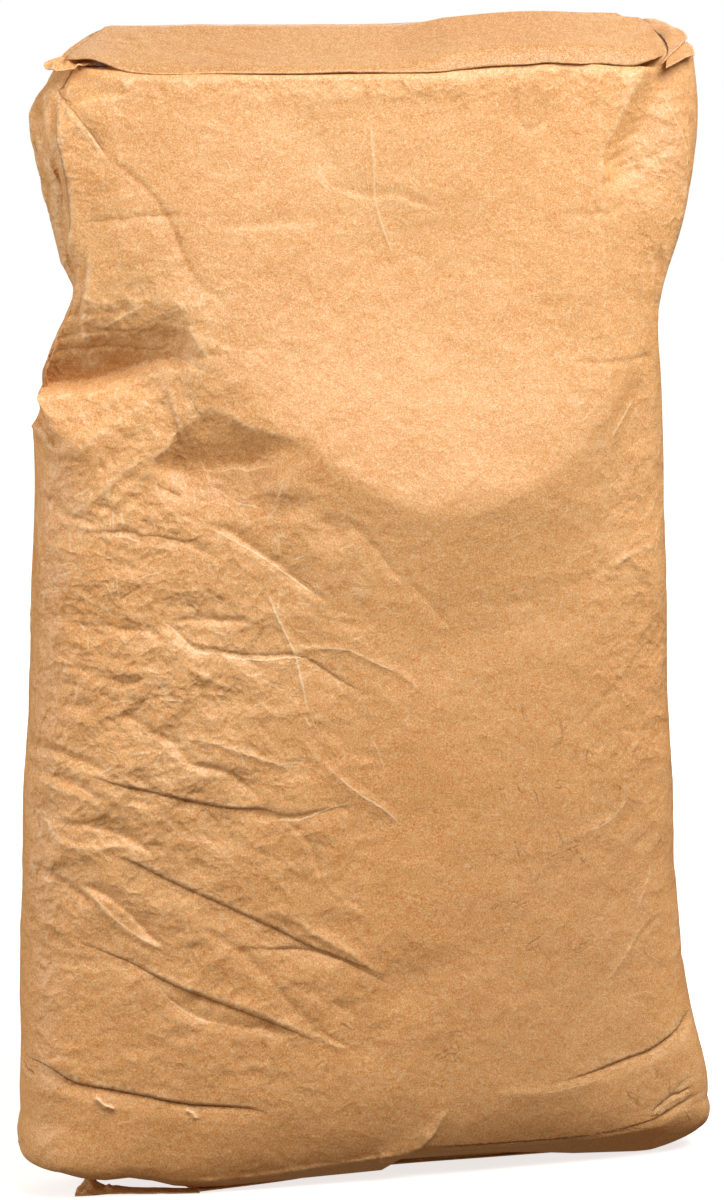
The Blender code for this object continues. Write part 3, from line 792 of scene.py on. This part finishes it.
def kraft(name, base, cloud, pale, dark, roughness):
    """Kraft paper: its two fibre colours, then those of its pale marks and of its dark marks, which paint
    shade along folds and seams and draw scuffs.
    """
    material, tree = new_material(name)
    place = add(tree, "TexCoord").outputs["Object"]
    soil_and_shade_share, line_away, mark, wear_share, crumple_share = (
        add(tree, "Attribute", attribute_name=label).outputs["Fac"]
        for label in ("soil_and_shade", "line_off", "line_mark", "wear", "crumple"))

    # Fibre clouds, grain, mottling, stains and flecks, each of which makes the colour deeper or paler
    clouds = add(tree, "TexNoise", [("Vector", place)], Scale=22.0, Detail=5.0, Roughness=0.6)
    grain = add(tree, "TexNoise", [("Vector", place)], Scale=1100.0, Detail=1.0, Roughness=0.6)
    mottle = add(tree, "TexNoise", [("Vector", place)], Scale=240.0, Detail=3.0, Roughness=0.65)
    stains = add(tree, "TexNoise", [("Vector", place)], Scale=6.0, Detail=3.0)
    flecks = add(tree, "TexVoronoi", [("Vector", place)], Scale=110.0)
    colour = add(tree, "Mix", [("Factor", clouds.outputs["Fac"]), ("A", linear(base)),
                                         ("B", linear(cloud))], data_type="RGBA").outputs["Result"]
    for pattern, low, high, to_low, to_high in (
            (grain.outputs["Fac"], 0.3, 0.7, 1.42, 0.66), (mottle.outputs["Fac"], 0.3, 0.7, 1.12, 0.9),
            (stains.outputs["Fac"], 0.35, 0.65, 1.06, 0.95),
            (flecks.outputs["Distance"], 0.04, 0.1, 1.45, 1.0)):
        level = add(tree, "MapRange", [("Value", pattern)], From_Min=low, From_Max=high,
                    To_Min=to_low, To_Max=to_high).outputs["Result"]
        colour = add(tree, "Gamma", [("Color", colour), ("Gamma", level)]).outputs[0]

    # The marked lines waver and break up, pale where the mark is over 0 and dark where it is under. The dark
    # lines paint shade along folds and seams, and draw scuffs.
    waver = add(tree, "TexNoise", [("Vector", place)], Scale=330.0, Detail=3.0,
                Roughness=0.7).outputs["Fac"]
    shifted = add(tree, "Math", [(0, waver), (1, WAVER), (2, -WAVER / 2)], operation="MULTIPLY_ADD")
    off = add(tree, "Math", [(0, line_away), (1, shifted.outputs[0])], operation="ADD")
    distance = add(tree, "Math", [(0, off.outputs[0])], operation="ABSOLUTE")
    hairline = add(tree, "MapRange", [("Value", distance.outputs[0])], From_Min=0.3,
                   From_Max=0.85, To_Min=1.0, To_Max=0.0)
    signed = add(tree, "Math", [(0, hairline.outputs["Result"]), (1, mark)],
                 operation="MULTIPLY").outputs[0]
    broken = add(tree, "MapRange", [("Value", waver)], From_Min=0.4, From_Max=0.6)
    worn_off = add(tree, "Math", [(0, wear_share), (1, broken.outputs["Result"])],
                   operation="MULTIPLY")
    # The soil tint stands for real soil and for painted shade alike
    shade_and_dirt = add(tree, "Math", [(0, soil_and_shade_share), (1, SOIL_AND_SHADE_COVER)], operation="MULTIPLY", use_clamp=True)
    pale_share = add(tree, "Math", [(0, signed), (1, worn_off.outputs[0])], operation="MAXIMUM",
                     use_clamp=True)
    dark_share = add(tree, "Math", [(0, signed), (1, -0.75)], operation="MULTIPLY",
                     use_clamp=True)
    for share, tint in ((shade_and_dirt, SOIL_AND_SHADE_TINT), (pale_share, pale), (dark_share, dark)):
        colour = add(tree, "Mix", [("Factor", share.outputs[0]), ("A", colour),
                                             ("B", linear(tint))], data_type="RGBA").outputs["Result"]

    # Crumpled facets, most where the paper was handled, and the paper's tooth
    bend = add(tree, "TexNoise", [("Vector", place)], Scale=45.0, Detail=3.0, Roughness=0.6)
    drift = add(tree, "VectorMath", [(0, bend.outputs["Color"])], operation="SCALE", Scale=0.018)
    moved = add(tree, "VectorMath", [(0, place), (1, drift.outputs["Vector"])], operation="ADD")
    facets = 0.0
    for scale, share in ((28.0, 1.0), (70.0, 0.5), (170.0, 0.22)):
        cells = add(tree, "TexVoronoi", [("Vector", moved.outputs["Vector"])], Scale=scale)
        facets = add(tree, "Math", [(0, cells.outputs["Distance"]), (1, share), (2, facets)],
                     operation="MULTIPLY_ADD").outputs[0]
    height = add(tree, "Math", [(0, facets), (1, crumple_share)], operation="MULTIPLY")
    folds = add(tree, "Bump", [("Height", height.outputs[0])], Strength=1.0, Distance=0.0052)
    tooth = add(tree, "Math", [(0, signed), (1, 1.4), (2, grain.outputs["Fac"])],
                operation="MULTIPLY_ADD")
    bump = add(tree, "Bump", [("Height", tooth.outputs[0]), ("Normal", folds.outputs["Normal"])],
               Strength=0.6, Distance=0.0003)
    shader = add(tree, "BsdfPrincipled", [("Base Color", colour),
                                                    ("Normal", bump.outputs["Normal"])],
                 Roughness=roughness, IOR=1.5)
    add(tree, "OutputMaterial", [("Surface", shader.outputs["BSDF"])])
    return material


def finish_piece(piece, material, node=None):
    """Gives a piece its material, ties it to the part, and hides the CAD node that it stands for."""
    piece.data.materials.append(material)
    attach(piece, "root")
    if node:
        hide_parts(node)


sack_kraft = kraft("sack kraft", "#e6b47b", "#dba56b", "#f5d8ad", "#6b4225", 0.5)
finish_piece(sack, sack_kraft, "paper_sack")

# Sand: the sack's filling, loose dry grains of quartz that take the shape of the paper round them.
# It is out of sight inside the sack, so its top is left flat.
SAND_GAP = 3.0
SAND_FLOOR = 3.6
SAND_FROM = 4
SAND_TOP = 430
SAND_ROW_STEP = 6
SAND_COLUMN_STEP = 4
sand_rows = np.nonzero((row_heights > SAND_FROM) & (row_heights < SAND_TOP))[0][::SAND_ROW_STEP]
sand_columns = np.arange(0, column_count, SAND_COLUMN_STEP)
sand_grid = (sack_points - grid_normals(sack_points) * SAND_GAP)[np.ix_(sand_rows, sand_columns)]
sand_grid[:, :, 2] = np.maximum(sand_grid[:, :, 2], SAND_FLOOR)
sand_points, sand_faces = with_ends(*tube_mesh(sand_grid), len(sand_rows), len(sand_columns))
sand = make_object("sand_heap", sand_points, sand_faces)
sand_material, tree = new_material("dry quartz sand")
place = add(tree, "TexCoord").outputs["Object"]
grains = add(tree, "TexVoronoi", [("Vector", place)], Scale=900.0)
drift = add(tree, "TexNoise", [("Vector", place)], Scale=14.0, Detail=4.0)
mixed = add(tree, "Mix", [("Factor", drift.outputs["Fac"]), ("A", linear("#d3b688")),
                                    ("B", linear("#b89866"))], data_type="RGBA")
speck = add(tree, "Mix", [("Factor", grains.outputs["Color"]), ("A", mixed.outputs["Result"]),
                                    ("B", linear("#e6d3ad"))], data_type="RGBA")
rough = add(tree, "Bump", [("Height", grains.outputs["Distance"])], Strength=0.7, Distance=0.0006)
shader = add(tree, "BsdfPrincipled", [("Base Color", speck.outputs["Result"]),
                                                ("Normal", rough.outputs["Normal"])],
             Roughness=0.95, IOR=1.54)
add(tree, "OutputMaterial", [("Surface", shader.outputs["BSDF"])])
finish_piece(sand, sand_material, "sand_fill")

# Top cover: a sheet of kraft pasted over the folded top end. Its left end is cut off at a slant, its
# right end is rounded over the valve, and its front edge has come loose and waves.
TOP = OUTLINES[-1]
TOP_CENTRE, TOP_TILT, TOP_SKEW = TOP[4], math.radians(TOP[9]), TOP[10] / (2 * TOP[5])
PAPER = 0.8


def on_top(spots):
    """Places (x, y, above) on the sack's sloping top, x to the right, y up the slope, in mm."""
    spots = np.asarray(spots, float)
    x = spots[..., 0] + spots[..., 1] * math.cos(TOP_TILT) * TOP_SKEW
    above = spots[..., 2] + swell(x) * math.cos(TOP_TILT)
    back = spots[..., 1] * math.cos(TOP_TILT) - above * math.sin(TOP_TILT)
    up = spots[..., 1] * math.sin(TOP_TILT) + above * math.cos(TOP_TILT)
    return np.stack([x, TOP_CENTRE + back, TOP_HEIGHT + up], axis=-1) + CENTRING


def even(points, count):
    """That many points at even distances along the smooth line through the points."""
    points = np.asarray(points, float)
    curve = smooth_line(points, 2.0)
    run = np.concatenate([[0], np.cumsum(np.linalg.norm(np.diff(curve, axis=0), axis=1))])
    at = np.linspace(0, run[-1], count)
    return np.stack([np.interp(at, run, curve[:, axis]) for axis in range(curve.shape[1])], axis=-1)


def stretched(front, rear, left, right, columns, rows):
    """A grid of points stretched between four edges. Front and rear run right, left and right back.

    Left and right are given without their ends, which are the ends of front and rear.
    """
    left, right = [front[0], *left, rear[0]], [front[-1], *right, rear[-1]]
    front, rear = even(front, columns), even(rear, columns)
    left, right = even(left, rows), even(right, rows)
    u = np.linspace(0, 1, columns)[None, :, None]
    v = np.linspace(0, 1, rows)[:, None, None]
    sides = (1 - u) * left[:, None] + u * right[:, None]
    ends = (1 - v) * front[None] + v * rear[None]
    corners = ((1 - u) * (1 - v) * front[0] + u * (1 - v) * front[-1]
               + (1 - u) * v * rear[0] + u * v * rear[-1])
    return sides + ends - corners


def folded(grid, start, end, size, wide):
    """Raises (or, with a negative size, lowers) a sheet of (x, y, above) along a straight crease."""
    start, end = np.array(start, float), np.array(end, float)
    half = np.linalg.norm(end - start) / 2
    way = (end - start) / (2 * half)
    off = grid[:, :, :2] - (start + end) / 2
    beyond = off[:, :, 1] * way[0] - off[:, :, 0] * way[1]
    fall = np.clip(1 - np.abs(off @ way) / half, 0, 1) ** 0.7
    grid[:, :, 2] += size * np.clip(1 - np.abs(beyond) / wide, 0, 1) * fall


def creased(grid, count, length, depth, reach, keep):
    """Adds small creases to a sheet of (x, y, above), which stays over keep mm."""
    made = grid.copy()
    low, high = grid.reshape(-1, 3).min(axis=0), grid.reshape(-1, 3).max(axis=0)
    for _ in range(count):
        at, turn = sheet_random.uniform(low[:2], high[:2]), sheet_random.uniform(0, math.pi)
        half = sheet_random.uniform(*length) / 2 * np.array([math.cos(turn), math.sin(turn)])
        size = sheet_random.uniform(*depth) * sheet_random.choice([-1, 1])
        folded(made, at - half, at + half, size, sheet_random.uniform(*reach))
    made[:, :, 2] = np.maximum(made[:, :, 2], keep)
    return made


def paper_sheet(name, grid, wear, soil_and_shade=0.0):
    """A closed sheet of paper whose upper face is the grid of points in mm, worn at its edge."""
    rows, columns = grid.shape[:2]
    face = np.cross(np.gradient(grid, axis=1), np.gradient(grid, axis=0))
    face /= np.maximum(np.linalg.norm(face, axis=2, keepdims=True), 1e-9)
    points = np.concatenate([grid.reshape(-1, 3), (grid - face * PAPER).reshape(-1, 3)])
    index = np.arange(rows * columns).reshape(rows, columns)
    upper = np.stack([index[:-1, :-1], index[:-1, 1:], index[1:, 1:], index[1:, :-1]], axis=-1)
    upper = upper.reshape(-1, 4)
    lower = upper[:, ::-1] + rows * columns
    rim = np.concatenate([index[0], index[1:, -1], index[-1, -2::-1], index[-2:0:-1, 0]])
    after = np.roll(rim, -1)
    edge = np.stack([rim, rim + rows * columns, after + rows * columns, after], axis=-1)
    rubbed = np.zeros(len(points))
    rubbed[rim] = rubbed[rim + rows * columns] = wear
    shade_and_dirt = np.tile(np.ravel(np.broadcast_to(soil_and_shade, (rows, columns))), 2)
    return make_object(name, points, np.concatenate([upper, lower, edge]),
                       [("wear", rubbed), ("soil_and_shade", shade_and_dirt)])


cover_kraft = kraft("cover kraft", "#cc9c67", "#c3935e", "#ecca98", "#6b4225", 0.55)
sheet_random = np.random.default_rng(7)
LIP = [(-176, -20, 2.0), (-170, -25, 4.0), (-162, -29, 6.0), (-154, -33, 5.0), (-145, -37, 3.8),
       (-133, -40, 2.9), (-116, -41, 2.2), (-88, -39, 1.9), (-60, -39, 1.6), (-36, -39, 1.4), (-5, -38, 1.5),
       (26, -38.5, 1.8), (48, -39.5, 1.9), (62, -38, 1.7), (87, -38, 1.4), (104, -39, 1.4), (118, -38, 1.1),
       (136, -39.5, 1.0), (149, -38.5, 1.2), (170, -38, 0.8), (186, -33, 0.8)]
REAR = [(-147, 37.5, 1.0), (-92, 37.5, 1.0), (-30, 37.5, 1.0), (33, 37.5, 1.0), (97, 37.5, 1.8),
        (130, 38, 2.6), (160, 39.5, 4.2), (171, 41, 4.4)]
LEFT_END = [(-172, -8, 1.6), (-160, 14, 1.0)]
RIGHT_END = [(192, -25, 0.9), (196, -11, 0.9), (196, 5, 0.9), (193, 20, 0.9), (187, 33, 1.0)]
COVER_FOLDS = (((191, 24), (176, -18), 1.6, 4), ((163, 30), (150, -30), 0.9, 9),
               ((96, 36), (84, -38), 0.8, 8), ((-140, 30), (-120, -20), 0.8, 8),
               ((-152, 10), (-126, 4), -0.6, 6))
COVER_LOW = 0.8
COVER_LIFT = 1.8
COVER_LEAST = 1.5
COVER_FRONT, COVER_REAR = -38.5, 37
SLEEVE_LIFT = 5.0
SLEEVE_LEFT, SLEEVE_RIGHT = 28, 194
cover_grid = stretched(LIP, REAR, LEFT_END, RIGHT_END, 200, 44)
cover_x, cover_y = cover_grid[:, :, 0], cover_grid[:, :, 1]
# Inside its edges the cover lies clear of the folded end under it
inside = np.clip((cover_y - COVER_FRONT) / 5, 0, 1) * np.clip((COVER_REAR - cover_y) / 6, 0, 1)
cover_grid[:, :, 2] += COVER_LIFT * inside
for start, end, size, wide in COVER_FOLDS:
    folded(cover_grid, start, end, size, wide)
cover_grid = creased(cover_grid, 70, (20, 90), (0.1, 0.6), (3, 12), keep=COVER_LOW)
cover_grid[:, :, 2] = np.maximum(cover_grid[:, :, 2], COVER_LOW + COVER_LEAST * inside)
over_sleeve = (np.clip((cover_x - SLEEVE_LEFT) / 30, 0, 1)
               * np.clip((COVER_REAR - np.abs(cover_y)) / 9, 0, 1))
cover_grid[:, :, 2] += SLEEVE_LIFT * over_sleeve * np.clip((SLEEVE_RIGHT - cover_x) / 10, 0, 1)
top_cover = paper_sheet("top_cover", on_top(cover_grid), wear=0.5)
finish_piece(top_cover, cover_kraft, "top_patch")

# Corner of the top's right end: two folded layers of the sack's own paper. The upper one stands up
# beside the cover, and the valve's mouth is the dark slot under its edge.
upper_layer = stretched([(191, -31, 1.0), (202, -12, 2.6), (213, 7, 4.0)],
                        [(184, 41, 1.0), (191, 43, 1.3), (198, 43, 1.2)],
                        [(198, -12, 1.5), (199, 5, 1.8), (196, 20, 1.6), (190, 34, 1.2)],
                        [(211, 19, 2.8), (204, 33, 1.8)], 22, 40)
folded(upper_layer, (201, 37), (208, 8), 1.0, 6)
lower_layer = stretched([(193, -37, 0.9), (204, -24, 1.2), (215, -14, 1.6)],
                        [(197, -14, 0.9), (206, -2, 1.4), (213, 4, 1.6)],
                        [(195, -26, 0.9)], [(215, -4, 1.6)], 22, 20)
# Both are darkened all over, with painted shadow in two spots beside the cover: in the valve's mouth and at
# the back end of the slot
for name, grid, size in (("top_right_corner", upper_layer, 0.9), ("top_right_underlay", lower_layer, 0.5)):
    grid = creased(grid, 22, (10, 30), (0.2, size), (2, 6), keep=0.9)
    x, y = grid[:, :, 0], grid[:, :, 1]
    shade_and_dirt = (0.9 + 2.5 * np.exp(-((x - 196) / 4) ** 2 - ((y - 14) / 9) ** 2)
            + 2.0 * np.exp(-((x - 188) / 5) ** 2 - ((y - 38) / 6) ** 2))
    finish_piece(paper_sheet(name, on_top(grid), wear=0.6, soil_and_shade=shade_and_dirt), sack_kraft)

# Ear at the top's left end: the tip of the sack's folded side, of the same kraft. It stands out from
# under the cover, torn, crumpled and worn pale.
ear_grid = stretched([(-189, -25, 1.0), (-185, -30, 1.6), (-180, -31, 1.2), (-174, -31, 2.0),
                      (-168, -28, 2.4), (-160, -26, 2.0)],
                     [(-188, -22, 1.4), (-183, -17, 2.6), (-178, -12, 1.6), (-173, -11, 3.0),
                      (-167, -12, 1.6), (-160, -14, 1.0)],
                     [(-189, -24, 1.6)], [(-159, -20, 1.6)], 40, 20)
ear_grid = creased(ear_grid, 40, (5, 16), (0.5, 1.9), (1.2, 3.5), keep=0.7)
ear = paper_sheet("top_left_ear", on_top(ear_grid), wear=0.7, soil_and_shade=0.3)
finish_piece(ear, sack_kraft)

# Valve sleeve: a flat tube of darker kraft, pasted inside the top's right end. The sack was filled
# through it, and it shuts itself against the sand. The CAD solid shows it.
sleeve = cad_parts["valve_sleeve"]
sleeve.data.materials.clear()
sleeve.data.materials.append(kraft("sleeve kraft", "#c48f57", "#b98450", "#e0b987", "#6b4225", 0.6))

# Bottom cover: the sheet pasted over the folded bottom end, which the sack stands on. Its left end
# has come away, lies on the ground under the raised corner, and is crumpled at its tip.
foot_grid = stretched([(-118, -33, 0.9), (-60, -22, 0.9), (0, -4, 0.9), (80, -2, 0.9), (146, -2, 0.9)],
                      [(-130, 38, 0.9), (0, 41, 0.9), (80, 41, 0.9), (150, 38, 0.9)],
                      [(-124, 0, 0.9)], [(150, 18, 0.9)], 60, 20)
bottom_cover = paper_sheet("bottom_cover", foot_grid, wear=0.3)
finish_piece(bottom_cover, cover_kraft, "bottom_patch")
strip_grid = stretched([(-190, -22, 1.0), (-178, -23, 0.9), (-168, -23, 0.9), (-140, -31, 0.9),
                        (-117, -36, 0.9)],
                       [(-186, -14, 4.0), (-178, -14, 8.0), (-170, -16, 4.5), (-156, -18, 2.6),
                        (-140, -23, 2.2), (-119, -27, 1.4)],
                       [(-189, -18, 2.6)], [(-118, -31, 1.0)], 90, 16)
STRIP_LOW = 0.85
TIP_RIGHT = -158
TIP_LENGTH = 14
TIP_LEAST = 0.1
crumpled_strip = creased(strip_grid, 60, (5, 18), (0.8, 2.6), (2, 5), keep=STRIP_LOW)
tip_share = np.clip((TIP_RIGHT - strip_grid[:, :, 0]) / TIP_LENGTH, TIP_LEAST, 1)
strip_grid[:, :, 2] += (crumpled_strip[:, :, 2] - strip_grid[:, :, 2]) * tip_share
strip_grid[:, :, 2] = np.maximum(strip_grid[:, :, 2], STRIP_LOW)
loose_strip = paper_sheet("loose_strip", strip_grid, wear=0.5)
finish_piece(loose_strip, cover_kraft, "bottom_patch")

# The studio: a plain floor of matt pale paint that glows, under a pale dome. Its glow brightens away from
# the sack until it meets the dome, and it lights nothing itself.
FLOOR_HALF = 8.0
floor_mesh = bpy.data.meshes.new("floor")
floor_mesh.from_pydata([(-FLOOR_HALF, -FLOOR_HALF, 0), (FLOOR_HALF, -FLOOR_HALF, 0),
                        (FLOOR_HALF, FLOOR_HALF, 0), (-FLOOR_HALF, FLOOR_HALF, 0)], [], [(0, 1, 2, 3)])
floor = bpy.data.objects.new("floor", floor_mesh)
bpy.context.scene.collection.objects.link(floor)
paint, tree = new_material("pale floor paint")
away = add(tree, "VectorMath", [(0, add(tree, "TexCoord").outputs["Object"])],
           operation="LENGTH")
glow = add(tree, "MapRange", [("Value", away.outputs["Value"])], From_Min=0.45, From_Max=1.6,
           To_Min=0.74, To_Max=1.0)
shader = add(tree, "BsdfPrincipled", [("Emission Strength", glow.outputs["Result"])],
             Base_Color=linear("#c9c7c4"), Emission_Color=linear("#ffffff"), Roughness=0.9)
add(tree, "OutputMaterial", [("Surface", shader.outputs["BSDF"])])
floor_mesh.materials.append(paint)
floor.visible_diffuse = floor.visible_glossy = False
floor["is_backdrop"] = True

# The dome is plain white to the camera, and for the sack a weak warm light, stronger from above
world = bpy.data.worlds.new("studio")
bpy.context.scene.world = world
world.use_nodes = True
sky = world.node_tree
sky.nodes.clear()
seen = add(sky, "LightPath").outputs["Is Camera Ray"]
upward = add(sky, "SeparateXYZ", [(0, add(sky, "TexCoord").outputs["Generated"])])
dome = add(sky, "MapRange", [("Value", upward.outputs["Z"])], From_Min=-0.3, From_Max=0.4,
           To_Min=0.2, To_Max=0.3)
strength = add(sky, "Mix", [("Factor", seen), ("A", dome.outputs["Result"]), ("B", 1.0)])
hue = add(sky, "Mix", [("Factor", seen), ("A", linear("#ffd9ae")), ("B", linear("#ffffff"))],
          data_type="RGBA")
background = add(sky, "Background", [("Color", hue.outputs["Result"]),
                                               ("Strength", strength.outputs["Result"])])
add(sky, "OutputWorld", [("Surface", background.outputs["Background"])])

# Three soft square lights: a key from above at the right, a fill from the left, one from the rear
LIGHT_AIM = Vector((0, 0, 0.4))
LIGHTS = (("key", (0.65, -1.15, 1.9), 1.2, 52), ("left fill", (-2.2, -0.3, 0.7), 1.2, 27),
          ("rear fill", (0.8, 2.4, 1.5), 1.4, 22))
for name, place, size, power in LIGHTS:
    light = bpy.data.lights.new(name, "AREA")
    light.shape = "SQUARE"
    light.size = size
    light.energy = power
    lamp = bpy.data.objects.new(name, light)
    lamp.location = place
    lamp.rotation_mode = "QUATERNION"
    lamp.rotation_quaternion = (LIGHT_AIM - Vector(place)).to_track_quat("-Z", "Y")
    bpy.context.scene.collection.objects.link(lamp)

# The camera: a long lens three metres off, turned to show the left side, a little above the sack,
# and moved aside a little so that the sack fills the frame as in the photograph
CAMERA_AZIMUTH = math.radians(-17)
CAMERA_ELEVATION = math.radians(7.5)
CAMERA_DISTANCE = 3.0
CAMERA_LENS = 150.1
CAMERA_AIM = Vector((0, 0, 0.352))
CAMERA_ASIDE = 0.0048
camera_data = bpy.data.cameras.new("camera")
camera_data.lens = CAMERA_LENS
camera = bpy.data.objects.new("camera", camera_data)
back = Vector((math.sin(CAMERA_AZIMUTH) * math.cos(CAMERA_ELEVATION),
               -math.cos(CAMERA_AZIMUTH) * math.cos(CAMERA_ELEVATION), math.sin(CAMERA_ELEVATION)))
camera.rotation_mode = "QUATERNION"
camera.rotation_quaternion = (-back).to_track_quat("-Z", "Y")
aside = camera.rotation_quaternion @ Vector((CAMERA_ASIDE, CAMERA_ASIDE, 0))
camera.location = CAMERA_AIM + back * CAMERA_DISTANCE - aside
bpy.context.scene.collection.objects.link(camera)
bpy.context.scene.camera = camera
bpy.context.scene.view_settings.view_transform = "Standard"

low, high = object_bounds()
